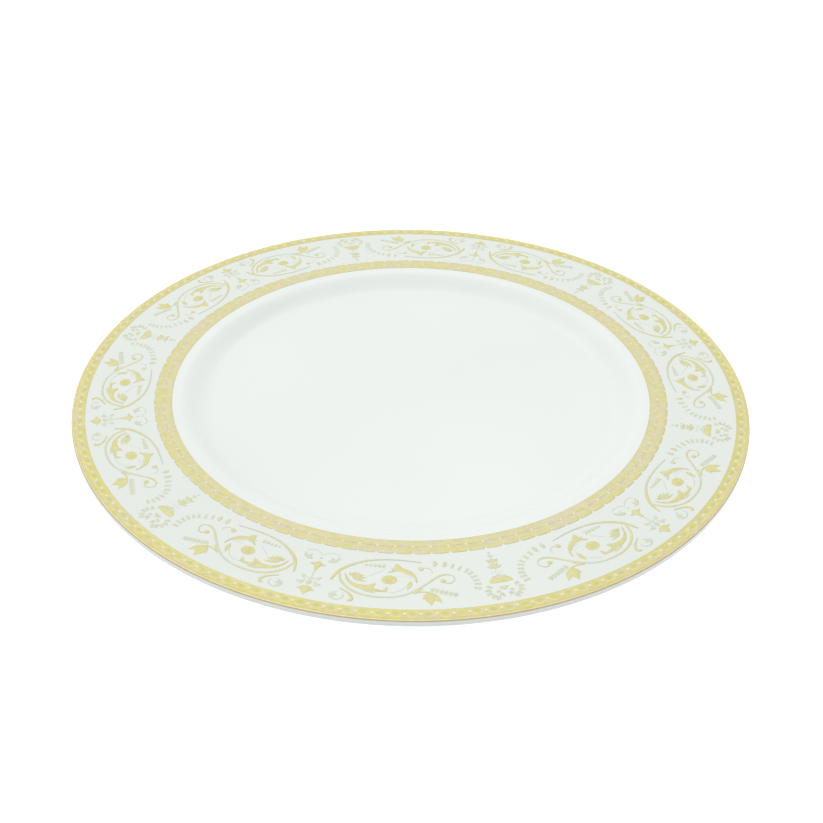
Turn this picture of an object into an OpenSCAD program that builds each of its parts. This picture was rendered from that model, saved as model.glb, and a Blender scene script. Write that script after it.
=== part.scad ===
// China dinner plate: a white porcelain body with a gilded neoclassical rim.
// Millimetres, +Z up. The origin is the centre of the foot ring, on the surface that the plate
// stands on. The ornament is drawn flat, as a strip that is wrapped around the rim: a drawn point
// is [along, out], where along is measured around the rim from an urn's centre line, and out is
// measured outwards from the middle of the frieze. One drawn half unit is 30 degrees of the rim,
// from an urn to the middle of the next junction. It is mirrored and repeated six times.

/* [Plate] */
// Diameter across the rim
plate_d = 270; // [240:1:300]
// Height from the table to the top of the rim's edge
plate_h = 16; // [15.5:0.5:20]
// Height that the rim gains from its shoulder to its edge
rim_rise = 1.2; // [0.4:0.1:2]
// Thickness of the rim
rim_t = 3.2; // [2.6:0.1:3.6]
// Depth of the well below the rim's shoulder
well_depth = 5.4; // [4.5:0.1:6.5]
// Thickness of the porcelain under the well
floor_t = 4.4; // [3.6:0.1:4.8]

/* [Foot ring] */
// Diameter of the foot ring, across the line that it stands on
foot_d = 158; // [150:1:162]
// Width of the foot ring
foot_w = 4.4; // [3.6:0.1:5]

/* [Gilding] */
// Thickness of a gilded layer
gilt_t = 0.25; // [0.2:0.05:0.35]
// Height of the relief that stands on a gilded band
relief_t = 0.2; // [0.15:0.05:0.3]
// Number of small arches around the outer band
arches = 160; // [140:2:170]
// Number of lobes around the inner band
lobes = 104; // [90:2:110]

/* [Hidden] */
$fn = 96;

units = 6;                      // urns around the rim, and junctions between them
unit_turn = 360 / units;
first_urn = unit_turn / 2;
k = plate_d / 270;              // the ornament grows with the plate

rim_r = plate_d / 2;
lip_r = 0.8;                    // rounding of the rim's upper edge
under_r = 1.6;                  // rounding of the rim's lower edge
shoulder_r = 93.8 * k;          // where the rim bends down into the well
floor_r = 81 * k;               // where the well's wall meets its floor
flat_r = rim_r - lip_r;         // outer end of the rim's straight slope

shoulder_z = plate_h - rim_rise;
floor_z = shoulder_z - well_depth;
base_z = floor_z - floor_t;     // underside of the well, inside the foot ring

inner_band = [96.5 * k, 99.7 * k, 102.2 * k];  // inner edge, pearl line and root of the lobes
outer_band = [129.8 * k, flat_r];
frieze_r = 116.8 * k;

porcelain = [0.93, 0.95, 0.93];
bright_gold = [0.86, 0.76, 0.42];
olive_gold = [0.70, 0.68, 0.48];

// ---- Curves ----

// Height of the rim's upper face at a radius, and the angle that it slopes at
function rim_z(r) = shoulder_z + rim_rise * (r - shoulder_r) / (flat_r - shoulder_r);
rim_tilt = atan(rim_rise / (flat_r - shoulder_r));

// Height of the well's wall at a share of its width: an S, a little steeper near the shoulder
function wall_z(t) = let (s = pow(t, 1.2)) floor_z + well_depth * (3 - 2 * s) * s * s;

// Height of the plate's upper face at any radius
function top_z(r) =
    r >= shoulder_r ? rim_z(r) : wall_z(max(r - floor_r, 0) / (shoulder_r - floor_r));

// How far around the rim a drawn point lies, and where that puts it, seen from above
function turn_of(p) = k * p[0] / frieze_r * 180 / PI;
function wrap(p) = (frieze_r + k * p[1]) * [cos(turn_of(p)), sin(turn_of(p))];

// Points on a circular arc, from one angle to another
function arc(centre, r, from, to, steps) =
    [for (i = [0 : steps]) let (a = from + (to - from) * i / steps)
        centre + r * [cos(a), sin(a)]];

// A point between b and c on the smooth curve through a, b, c and d
function between(a, b, c, d, t) =
    (2 * b + (c - a) * t + (2 * a - 5 * b + 4 * c - d) * t * t
        + (3 * b - a - 3 * c + d) * t * t * t) / 2;

// A smooth line through a list of points, with a number of steps from each point to the next
function smooth(points, steps) =
    let (last = len(points) - 1)
    concat(
        [for (i = [0 : last - 1], j = [0 : steps - 1])
            between(points[max(i - 1, 0)], points[i], points[i + 1],
                points[min(i + 2, last)], j / steps)],
        [points[last]]);

// The forward direction of a line at its point i, and the direction to its left there
function ahead_of(line, i) =
    let (d = line[min(i + 1, len(line) - 1)] - line[max(i - 1, 0)])
    d / norm(d);
function left_of(line, i) = let (d = ahead_of(line, i)) [-d[1], d[0]];

// The outline of a line drawn with the given half width at each of its points
function ribbon(line, half) =
    let (last = len(line) - 1)
    concat(
        [for (i = [0 : last]) wrap(line[i] + left_of(line, i) * half[i])],
        [for (i = [last : -1 : 0]) wrap(line[i] - left_of(line, i) * half[i])]);

// The value at a share of the way along a list of values that are given at equal steps
function along(values, t) =
    lookup(t * (len(values) - 1), [for (i = [0 : len(values) - 1]) [i, values[i]]]);

// ---- Drawn shapes ----

// A vine: a smooth line, with its widths given at equal steps along it
module vine(points, widths, steps = 3) {
    line = smooth(points, steps);
    last = len(line) - 1;
    polygon(ribbon(line, [for (i = [0 : last]) along(widths, i / last) / 2]));
}

// Radius of the circle whose arc rises by a given height over a chord
function arc_r(chord, rise) = (chord * chord / 4 + rise * rise) / (2 * rise);

// A leaf with two pointed ends, where two arcs meet; bow, less than half its width, bends it
// to the left of its direction
module leaf(base, tip, wide, bow = 0) {
    a = wrap(base);
    d = wrap(tip) - a;
    left = k * (wide / 2 + bow);
    right = k * (wide / 2 - bow);
    translate(a + d / 2) rotate(atan2(d[1], d[0])) intersection() {
        translate([0, left - arc_r(norm(d), left)]) circle(r = arc_r(norm(d), left));
        translate([0, arc_r(norm(d), right) - right]) circle(r = arc_r(norm(d), right));
    }
}

// A round berry or pearl
module berry(place, r) translate(wrap(place)) circle(r = r * k);

// An outline that is the same on both sides of the centre line, from its right half
module twin_outline(half)
    polygon(concat(
        [for (p = half) wrap(p)],
        [for (i = [len(half) - 1 : -1 : 0]) if (half[i][0] > 0) wrap([-half[i][0], half[i][1]])]));

// A pair of leaves on both sides of a line, whose tips are reached by going forward and sideways
module leaf_pair(root, ahead, left, forward, sideways, wide)
    for (s = [-1, 1])
        leaf(root + left * s * 0.08, root + ahead * forward + left * s * sideways, wide);

// A laurel branch: pairs of leaves along a smooth line, and one leaf at its tip
module laurel(points, pairs, size) {
    line = smooth(points, 8);
    last = len(line) - 1;
    for (i = [0 : pairs - 1]) let (n = round((i + 0.25) / pairs * last))
        leaf_pair(line[n], ahead_of(line, n), left_of(line, n), 0.75 * size, 0.72 * size, 0.65 * size);
    leaf(line[last] - ahead_of(line, last) * 0.4 * size, line[last] + ahead_of(line, last) * 0.7 * size,
        0.65 * size);
}

// ---- Placing the ornament on the rim ----

// A ring that lies on the rim
module rim_ring(inner, outer)
    rotate_extrude()
        polygon([
            [inner, rim_z(inner)], [outer, rim_z(outer)],
            [outer, rim_z(outer) + gilt_t], [inner, rim_z(inner) + gilt_t]]);

// A flat drawing, laid on the rim between two heights, with the rim's own slope at one turn
module lay(turn, low = 0, high = gilt_t)
    rotate(turn) translate([frieze_r, 0, rim_z(frieze_r) + low]) rotate([0, -rim_tilt, 0])
        translate([-frieze_r, 0, 0]) rotate(-turn) linear_extrude(high - low) children();

// The same drawing at each urn, or at each junction
module at_each_unit(start = first_urn)
    for (i = [0 : units - 1]) rotate(start + i * unit_turn) lay(0) children();

// The same drawing on both sides of each urn; middle is the middle of the drawing
module at_each_half(middle)
    for (i = [0 : units - 1], flip = [0, 1])
        rotate(first_urn + i * unit_turn) mirror([0, flip, 0])
            lay(turn_of([middle, 0])) children();

// A small drawing, repeated around a band at one radius, on top of the band
module around_band(count, r, shift = 0)
    for (i = [0 : count - 1])
        lay((i + shift) * 360 / count, gilt_t, gilt_t + relief_t)
            rotate((i + shift) * 360 / count) translate([r, 0]) children();

// Both sides of a drawing that is centred on an urn
module both_sides() {
    children();
    mirror([0, 1]) children();
}

// ---- Porcelain ----

module porcelain_body() {
    foot_r = foot_d / 2;
    foot_in = foot_r - foot_w / 2;
    foot_out = foot_r + foot_w / 2;
    root_r = foot_out + 0.8;                    // where the foot ring meets the underside
    rim_in = flat_r - 3;                        // inner end of the rim's rounded lower edge
    color(porcelain) rotate_extrude() polygon(concat(
        // upper face: floor, the S of the well's wall, and the rim
        [[0, floor_z]],
        [for (i = [0 : 12]) [floor_r + (shoulder_r - floor_r) * i / 12, wall_z(i / 12)]],
        // the lip
        arc([flat_r, plate_h - lip_r], lip_r, 90, 0, 6),
        arc([rim_r - under_r, plate_h - rim_t + under_r], under_r, 0, -90, 6),
        // the underside, down to the foot ring, which thickens from the rim's edge to the floor
        [for (i = [0 : 16]) let (r = rim_in + (root_r - rim_in) * i / 16)
            [r, top_z(r) - rim_t - (floor_t - rim_t) * i / 16]],
        // the foot ring, rounded where it stands
        arc([foot_out - 1.2, 1.2], 1.2, 0, -90, 4),
        arc([foot_in + 1.2, 1.2], 1.2, -90, -180, 4),
        arc([foot_in - 1.5, base_z - 1.5], 1.5, 0, 90, 4),
        [[0, base_z]]));
}

// The gilding of the lip: it runs over the rounding of the rim's upper edge
module lip_gilt_line() {
    centre = [flat_r, plate_h - lip_r];
    color(olive_gold) rotate_extrude() polygon(concat(
        arc(centre, lip_r + gilt_t, 84, 34, 5),
        arc(centre, lip_r, 34, 84, 5)));
}

// ---- Outer band ----

module outer_gold_band()
    color(bright_gold) rim_ring(outer_band[0], outer_band[1]);

pearl_row = 131.8 * k;          // the row of pearls, where the arches spring from
pearl_turn = 0.3;               // the first pearl's place, as a share of the pitch
arch_span = 2 * pearl_row * sin(180 / arches);
arch_rise = 1.5 * k;
arch_w = 0.4 * k;

module outer_band_arches() {
    bend_r = arc_r(arch_span, arch_rise);
    color(bright_gold)
        around_band(arches, pearl_row + arch_rise - bend_r, pearl_turn + 0.5) intersection() {
            difference() {
                circle(r = bend_r);
                circle(r = bend_r - arch_w);
            }
            // only the part that clears the pearls
            translate([bend_r - arch_rise + 0.6, -arch_span / 2]) square([arch_rise, arch_span]);
        }
}

module outer_band_pearls()
    color(porcelain) around_band(arches, pearl_row, pearl_turn) circle(r = 0.6 * k);

// ---- Inner band ----

module inner_gold_band()
    color(bright_gold) rim_ring(inner_band[0], inner_band[1] - 0.15);

// The outer half of the band, with its row of lobes along the frieze
module inner_band_lobes()
    color(bright_gold) intersection() {
        translate([0, 0, shoulder_z - 1]) linear_extrude(rim_rise + 3) union() {
            circle(r = inner_band[2]);
            for (i = [0 : lobes - 1]) rotate((i + 0.5) * 360 / lobes)
                translate([inner_band[2] - 1.6 * k, 0]) circle(r = 2.8 * k);
        }
        rim_ring(inner_band[1] + 0.15, frieze_r);
    }

// Pearls over the seam between the band's two halves
module inner_band_pearls()
    color(porcelain) around_band(lobes, inner_band[1]) circle(r = 0.6 * k);

// ---- Urns ----

module urn_bowls() color(bright_gold) at_each_unit() {
    // the bowl
    twin_outline([[4.1, 3.75], [4.2, 3.3], [3.95, 2.6], [3.3, 1.6], [2.7, 1.15], [2.2, 0.95]]);
    // the lid and its finial
    twin_outline([[0, 7.2], [0.4, 6.9], [1.4, 6.2], [1.8, 5.7], [1.6, 5.4]]);
}

module urn_wreaths() color(olive_gold) at_each_unit() both_sides() {
    laurel([[3.9, 4.5], [5.1, 6.3], [5.1, 8.2], [3.9, 9.8], [3, 10.5]], 5, 1.5);
    laurel([[2.5, 7], [1.9, 8.2], [1.2, 9.6]], 2, 1.25);
}

module urn_pendants() color(olive_gold) at_each_unit() {
    // the foot of the bowl and the pedestal
    vine([[-2.4, 0.75], [-1.3, 0.5], [0, 0.45], [1.3, 0.5], [2.4, 0.75]], [0.25, 0.35, 0.25]);
    vine([[-0.8, -0.1], [0, -0.25], [0.8, -0.1]], [0.3, 0.45, 0.3]);
    for (x = [-1.6, -0.5, 0.5, 1.6])
        leaf([x * 0.95, -0.8], [x * 1.15, -2.5], 0.45);
    // two clusters of leaves, and a drop
    leaf([0, -5.6], [0, -2.6], 2.2);
    leaf([0, -8.1], [0, -5.9], 2.2);
    leaf([0, -8.7], [0, -10.4], 1.3);
    berry([0, -11.1], 0.45);
    both_sides() {
        leaf([0.2, -3.7], [2.6, -4.6], 1.3, 0.2);
        leaf([0.2, -4.8], [1.8, -5.7], 0.8);
        leaf([0.3, -6.6], [2.2, -7.9], 1.3, 0.2);
    }
}

// ---- Garlands, sprigs and lilies ----

module leaf_garlands() color(olive_gold) at_each_half(14) {
    path = [[8.1, 4.75], [7.6, 2.85], [7.7, 1.05], [8.1, -0.75], [8.9, -2.55], [10, -3.95],
        [12.1, -5.4], [14.4, -6.7], [17, -7.8], [20.4, -8.35]];
    pairs = 8;
    for (i = [0 : pairs - 1])
        leaf_pair(path[i] + ahead_of(path, i) * 0.3, ahead_of(path, i), left_of(path, i),
            -0.65, 1.3, 1.3);
    // berries at the end, each with two small leaves
    for (i = [pairs : len(path) - 1]) {
        berry(path[i], 0.95);
        for (s = [-1, 1])
            leaf(path[i] - ahead_of(path, i) * 0.6 + left_of(path, i) * s * 0.5,
                path[i] + ahead_of(path, i) * 0.9 + left_of(path, i) * s * 1.15, 0.7, 0.2 * s);
    }
}

module wheat_sprigs() color(olive_gold) at_each_half(19) {
    start = [22.9, 3.8];
    stop = [14.8, 7.1];
    ahead = (stop - start) / norm(stop - start);
    grains = 6;
    for (i = [0 : grains - 1])
        leaf_pair(start + (stop - start) * i / grains, ahead, [-ahead[1], ahead[0]], 1.3, 1.1, 0.95);
    leaf(stop - ahead * 1.1, stop + ahead * 0.4, 1.3);
}

module lily_flowers() color(bright_gold) at_each_half(24) {
    leaf([23.7, 5.2], [19.7, 10.3], 2.5, 0.15);
    leaf([23.8, 5.3], [25.6, 8.5], 1.7, 0.35);
    leaf([23.5, 4.9], [23, 11.3], 3.2);
    // the stem and its leaf
    vine([[23.3, 5.2], [25.6, 4.9], [28.3, 5.8]], [0.7, 0.5, 0.3]);
    leaf([28.4, 5.7], [25, 3.4], 1.5, 0.4);
}

// ---- Medallions ----

module scroll_vines() color(bright_gold) at_each_half(34) {
    vine([
        [17.9, 0.9], [17.2, 1.3], [16, 1.2], [14.8, 0], [14.7, -1.6], [16, -2.7], [18.2, -2.8],
        [20.5, -1.7], [23, 0.4], [26.3, 3.2], [28.6, 4.9], [31, 6.4], [34.2, 7.4], [37.9, 7.8],
        [42, 7.6], [45.6, 6.7], [48.8, 4.9], [51.3, 2.4], [52.5, 0], [52.8, -1.6]],
        [0.7, 0.6, 0.5, 0.9, 0.95, 0.85, 0.85, 0.85, 0.9, 1, 0.6], 2);
    berry([18.5, 0], 0.95);
}

module medallion_arcs() color(bright_gold) at_each_half(41)
    vine([
        [54.9, 2.4], [53.9, -1.2], [52.2, -4], [49.2, -6.6], [45.6, -8.6], [42, -9.7],
        [37.4, -10.3], [33.3, -10.3], [28.8, -9.8], [25.2, -9.1]],
        [0.6, 1.2, 1.3, 1.2, 1, 0.8, 0.7, 0.6, 0.45, 0.3]);

module medallion_rosettes() color(bright_gold) at_each_half(36) {
    centre = [36.1, -0.5];
    petals = 11;
    berry(centre, 1.7);
    for (i = [0 : petals - 1])
        berry(centre + [1.95 * cos(i * 360 / petals), 1.52 * sin(i * 360 / petals)], 0.72);
}

module acanthus_leaves() color(bright_gold) at_each_half(43) {
    vine([[51.1, -1.8], [50, 0.5], [48.6, 2.1], [46.6, 3.3], [44.2, 3.8], [42, 3.6], [40.9, 3.2]],
        [0.35, 0.8, 1.2, 1.8, 2.4, 2.6, 2.3]);
    leaf([42.6, 4.3], [39.7, 4.5], 1.5, 0.1);
    leaf([42.4, 3.2], [40.3, 1.6], 1.7, -0.2);
    leaf([44.6, 4.9], [39.8, 6.3], 1.2, 0.2);
    leaf([43.4, 4.6], [36, 5.3], 1.3, 0.15);
    leaf([37.9, 5.2], [36.5, 2.8], 1.3, -0.3);
}

module curled_acanthus() color(bright_gold) at_each_half(32) {
    vine([[27.1, 0.7], [27.4, -1.4], [28.4, -3.2], [29.9, -4.5], [31.9, -5.3], [34.2, -5.2], [36.8, -3.9]],
        [0.35, 0.8, 1.4, 1.9, 2.1, 1.3, 0.4]);
    leaf([32.6, -4.9], [34.2, -8.5], 2.7, 0.2);
    leaf([33.6, -5.4], [36.1, -6.3], 0.9, 0.2);
    leaf([29.1, -0.2], [30.2, 4.3], 1.7, 0.15);
}

module palmette_sprays() color(olive_gold) at_each_half(43) {
    // the palmette
    leaf([48.9, -1.5], [43.3, 1], 1.7, -0.7);
    leaf([48.6, -1.3], [43.4, -0.7], 1.5, -0.4);
    leaf([48.7, -1.6], [44.6, -1.9], 1.3, -0.3);
    leaf([48.8, -1.8], [46.1, -2.8], 1.1, -0.2);
    leaf([48.5, -0.8], [49.6, -2.8], 0.9, 0.2);
    // its stem
    vine([[43.2, -1.5], [41, -3.2], [38.4, -5]], [0.3, 0.28, 0.22]);
    // the small spray under it
    for (i = [0 : 4])
        leaf_pair([39.2 + 1.5 * i, -6.85], [-1, 0], [0, 1], 1.3 - 0.14 * i, 1 - 0.1 * i, 1.1 - 0.1 * i);
}

module berry_curls() color(bright_gold) at_each_half(24) {
    vine([[25, -6.4], [23.7, -6.5], [22.4, -5.9], [21.7, -4.9], [22, -3.8]], [0.45, 0.4, 0.3]);
    berry([25.5, -6], 1);
}

module corner_curls() color(olive_gold) at_each_half(50) {
    vine([[47.9, 10.6], [46.9, 10.5], [46.6, 9.4], [47.6, 7.7], [49.3, 6.5], [51.2, 5.5]],
        [0.7, 1.1, 1.1, 0.9, 0.7, 0.4]);
    vine([[49.7, 8], [49.4, 9.2], [50.1, 10.4], [51.5, 10.9], [52.7, 10.6]], [0.3, 0.5, 0.5]);
    leaf([51.8, 10.9], [53.7, 7.7], 1.5, 0.45);
    leaf([53.8, 8.9], [51.4, 6.6], 1.2, -0.35);
    leaf([53, 9], [50.8, 9.1], 1, 0.1);
}

// ---- Junctions between the medallions ----

module junction_fleurs() color(bright_gold) at_each_unit(0) {
    leaf([0, 6.9], [0, 11.3], 3);
    both_sides() {
        leaf([0.1, 8.3], [3, 8.9], 1.4, -0.1);
        leaf([0.1, 8], [1.7, 7.4], 0.9, 0.1);
    }
}

module junction_flowers() color(olive_gold) at_each_unit(0) {
    leaf([0, 6.6], [0, 3.8], 1.9);
    vine([[0, 4], [0, -0.2]], [0.4, 0.4], 1);
    both_sides() {
        leaf([1.3, 5.6], [4.5, 6], 1.9);
        leaf([1.7, 6.4], [3.1, 7.1], 0.7);
        leaf([1.7, 3.9], [3.4, 2], 1.6);
        leaf([0.3, 3.8], [1.2, 2.7], 0.7, 0.1);
    }
}

module junction_lilies() color(bright_gold) at_each_unit(0) {
    twin_outline([[0.5, -0.1], [0.75, -2], [1.55, -3.6], [1.1, -4.4], [0.2, -5.3]]);
    both_sides() leaf([0.3, -3.5], [3, -3.8], 1.2, 0.1);
}

module base_scrolls() color(olive_gold) at_each_unit(0) {
    leaf([0, -6.2], [0, -7.5], 1);
    both_sides() {
        vine([[2.8, -5.9], [4.5, -6.1], [5.8, -6.9], [6.5, -8.4]], [0.9, 1.5, 1.2, 0.5]);
        leaf([4.6, -6.3], [3.5, -7.9], 1.2, 0.1);
        vine([[0.2, -8.3], [1.4, -9.5], [3.2, -10], [5, -9.9], [6.4, -9]], [0.3, 0.4, 0.3]);
    }
}

porcelain_body();
lip_gilt_line();
outer_gold_band();
outer_band_arches();
outer_band_pearls();
inner_gold_band();
inner_band_lobes();
inner_band_pearls();
urn_bowls();
urn_wreaths();
urn_pendants();
leaf_garlands();
wheat_sprigs();
lily_flowers();
scroll_vines();
medallion_arcs();
medallion_rosettes();
acanthus_leaves();
curled_acanthus();
palmette_sprays();
berry_curls();
corner_curls();
junction_fleurs();
junction_flowers();
junction_lilies();
base_scrolls();
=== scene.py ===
import math

import bpy
import numpy as np
from mathutils import Matrix, Vector

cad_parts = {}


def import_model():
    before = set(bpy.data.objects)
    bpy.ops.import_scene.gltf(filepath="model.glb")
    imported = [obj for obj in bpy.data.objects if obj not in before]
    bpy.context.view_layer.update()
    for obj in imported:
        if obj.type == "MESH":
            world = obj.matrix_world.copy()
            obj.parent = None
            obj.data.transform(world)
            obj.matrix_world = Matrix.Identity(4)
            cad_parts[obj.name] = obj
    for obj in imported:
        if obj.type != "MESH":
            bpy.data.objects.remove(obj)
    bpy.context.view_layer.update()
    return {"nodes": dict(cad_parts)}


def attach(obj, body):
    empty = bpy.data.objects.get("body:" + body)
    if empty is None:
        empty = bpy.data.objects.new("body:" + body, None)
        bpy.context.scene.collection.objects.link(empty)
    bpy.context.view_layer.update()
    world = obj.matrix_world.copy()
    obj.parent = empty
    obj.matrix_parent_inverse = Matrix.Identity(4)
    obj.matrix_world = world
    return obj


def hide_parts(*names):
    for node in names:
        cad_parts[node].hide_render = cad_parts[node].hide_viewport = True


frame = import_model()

# The ornament is drawn flat, in millimetres, and wrapped around the rim. A drawn point is
# (along, out): along is measured around the rim from an urn's centre line, and out outwards from
# the middle of the frieze. The part is in metres, so MM turns one into the other at the end.
MM = 0.001

# ---------------------------------------------------------------- sizes, from the frame


def reach(node):
    """The smallest and largest radius of a CAD node, and its lowest and highest z, in mm."""
    co = np.array([v.co for v in frame["nodes"][node].data.vertices], float) / MM
    r = np.hypot(co[:, 0], co[:, 1])
    return r.min(), r.max(), co[:, 2].min(), co[:, 2].max()


_, PLATE_R, _, PLATE_H = reach("porcelain_body")
OUTER_BAND_IN, FLAT_R, _, _ = reach("outer_gold_band")
INNER_BAND_IN, SEAM_IN, _, _ = reach("inner_gold_band")
SEAM_OUT, LOBE_TIP, _, _ = reach("inner_band_lobes")
SEAM_R = (SEAM_IN + SEAM_OUT) / 2          # the line of pearls between the band's two halves

LIP_R = PLATE_R - FLAT_R                   # rounding of the rim's upper edge
UNDER_LIP_R = 1.6                          # rounding of its lower edge
RIM_T = 3.2                                # thickness of the rim
RIM_RISE = 1.2                             # how much the rim climbs from the shoulder outwards
WELL_DEPTH = 5.4                           # from the shoulder down to the floor
FLOOR_T = 4.4                              # thickness of the floor
SHOULDER_R = 93.8                          # where the well's wall meets the rim
FLOOR_R = 81.0                             # where it meets the floor
FOOT_R = 79.0                              # middle of the foot ring
FOOT_W = 4.4                               # its width
FOOT_EDGE_R = 1.2                          # rounding of its two lower edges
RECESS_R = 1.5                             # rounding between it and the underside of the floor
FRIEZE_R = 116.8                           # middle of the frieze, where the ornament is drawn

SHOULDER_Z = PLATE_H - RIM_RISE
FLOOR_Z = SHOULDER_Z - WELL_DEPTH
BASE_Z = FLOOR_Z - FLOOR_T

UNITS = 6                                  # urns around the rim, and junctions between them
ARCHES = 160
LOBES = 104
TURNS = 720                                # steps around the plate in a turned surface

SINK = 0.06                                # how far a relief's edge goes down into the glaze
BAND_T = 0.07                              # height of the plain gilding of a band over the glaze


def rim_z(r):
    """Height of the rim's upper face at a radius."""
    return SHOULDER_Z + RIM_RISE * (r - SHOULDER_R) / (FLAT_R - SHOULDER_R)


def wall_z(t):
    """Height of the well's wall at a share of its width: an S, a little steeper near the shoulder."""
    s = t ** 1.2
    return FLOOR_Z + WELL_DEPTH * (3 - 2 * s) * s * s


def top_z(r):
    """Height of the upper face at any radius."""
    return rim_z(r) if r >= SHOULDER_R else wall_z(max(r - FLOOR_R, 0) / (SHOULDER_R - FLOOR_R))


# ---------------------------------------------------------------- meshes


def mesh_object(name, points, faces, tones=None):
    """An object from points in mm, with an optional value per point kept as the attribute tone."""
    mesh = bpy.data.meshes.new(name)
    mesh.from_pydata((np.asarray(points, float) * MM).tolist(), [], faces)
    mesh.polygons.foreach_set("use_smooth", [True] * len(mesh.polygons))
    if tones is not None:
        layer = mesh.attributes.new("tone", "FLOAT", "POINT")
        layer.data.foreach_set("value", np.asarray(tones, np.float32))
    mesh.update()
    obj = bpy.data.objects.new(name, mesh)
    bpy.context.scene.collection.objects.link(obj)
    return obj


def lathe(name, profile, tones=None):
    """A closed solid of revolution. The profile is a list of (r, z) that goes round the section
    with the solid on its right. A point at r = 0 is a pole. A ring has none, and it may have a
    tone for each point of its profile."""
    points, rings = [], []
    for r, z in profile:
        if r < 1e-6:
            rings.append([len(points)] * TURNS)
            points.append((0, 0, z))
        else:
            rings.append(list(range(len(points), len(points) + TURNS)))
            for i in range(TURNS):
                a = 2 * math.pi * i / TURNS
                points.append((r * math.cos(a), r * math.sin(a), z))
    is_ring = min(r for r, _ in profile) > 1e-6
    following = rings[1:] + rings[:1] if is_ring else rings[1:]
    faces = []
    for low, high in zip(rings, following):
        for i in range(TURNS):
            j = (i + 1) % TURNS
            corners = [low[i], high[i], high[j], low[j]]
            faces.append([c for n, c in enumerate(corners) if c not in corners[:n]])
    return mesh_object(name, points, faces, None if tones is None else np.repeat(tones, TURNS))


def arc(centre, r, start, end, steps):
    """Points on a circular arc, with its angles in degrees."""
    angles = np.radians(np.linspace(start, end, steps + 1))
    return [(centre[0] + r * math.cos(a), centre[1] + r * math.sin(a)) for a in angles]


def smooth(points, steps):
    """The smooth line through a list of points, with a number of steps between two of them."""
    p = np.array([points[0], *points, points[-1]], float)
    line = []
    for a, b, c, d in zip(p, p[1:], p[2:], p[3:]):
        for t in np.arange(steps) / steps:
            line.append((2 * b + (c - a) * t + (2 * a - 5 * b + 4 * c - d) * t * t
                         + (3 * b - a - 3 * c + d) * t ** 3) / 2)
    return np.array([*line, p[-1]])


def directions(line):
    """Unit vectors at each point of a line: along it, and to its left."""
    ahead = np.gradient(line, axis=0)
    ahead /= np.linalg.norm(ahead, axis=1)[:, None]
    return ahead, np.c_[-ahead[:, 1], ahead[:, 0]]


def mirrored(points, s):
    """Drawn points as they are for s = 1, and on the other side of the centre line for s = -1."""
    return [(s * a, b) for a, b in points]


def spread(values, count):
    """Values given at equal steps, as a row of count values: one is held, three are joined by a
    parabola, and more by straight steps."""
    values = np.atleast_1d(np.asarray(values, float))
    if len(values) == 1:
        return np.full(count, values[0])
    at = np.linspace(0, 1, count)
    if len(values) == 3:
        a, b, c = values
        return a * (1 - at) * (1 - 2 * at) + 4 * b * at * (1 - at) + c * at * (2 * at - 1)
    return np.interp(at, np.linspace(0, 1, len(values)), values)


# cross-sections of a stroke: height at s, from -1 at one edge to 1 at the other


def dome(s):
    return np.sqrt(np.maximum(1 - s * s, 0))


def veined(s):
    return dome(s) * (1 - 0.55 * np.exp(-((s / 0.22) ** 2)))


def ridged(s):
    return 0.62 * dome(s) + 0.38 * np.exp(-((s / 0.25) ** 2)) * dome(s)


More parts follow.
